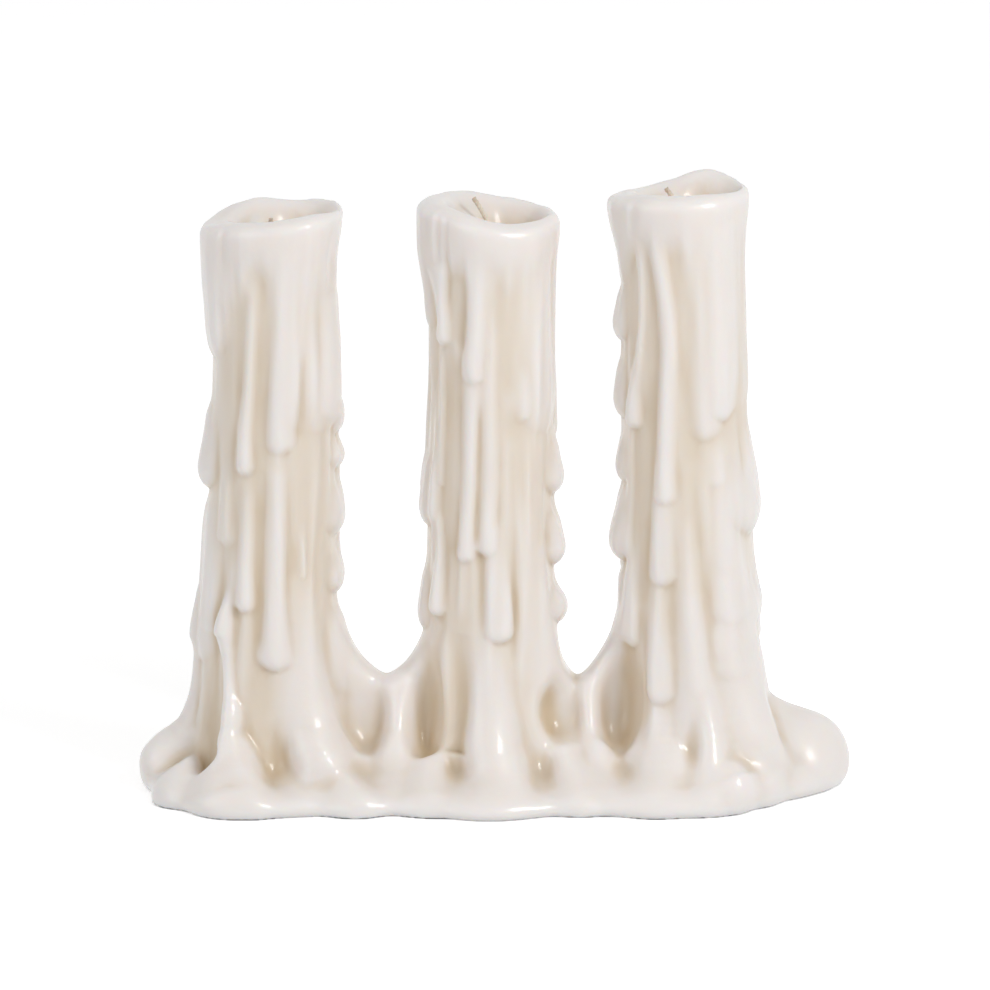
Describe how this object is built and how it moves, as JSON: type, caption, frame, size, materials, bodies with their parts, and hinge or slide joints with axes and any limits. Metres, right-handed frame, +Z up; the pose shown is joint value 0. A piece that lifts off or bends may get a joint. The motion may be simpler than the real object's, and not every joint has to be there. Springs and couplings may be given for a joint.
{
  "type": "melted candle",
  "caption": "Wax candles fused at the foot by webs and a lobed pool, with drip-covered columns, hollow melted tops and a short wick in each cup.",
  "frame": {"origin": "centre of the middle candle's foot, on the flat underside of the wax pool", "axes": "+X along the row of candles towards the tallest one, +Y from the front to the back, +Z up out of the pool"},
  "size_m": [0.2145, 0.0805, 0.1879],
  "materials": {
    "wax": "ivory candle wax, translucent, with a soft satin gloss",
    "wick": "braided cotton soaked in wax"
  },
  "bodies": {
    "root": {"wax_body": "wax", "wick_left": "wick", "wick_middle": "wick", "wick_right": "wick"}
  },
  "joints": []
}
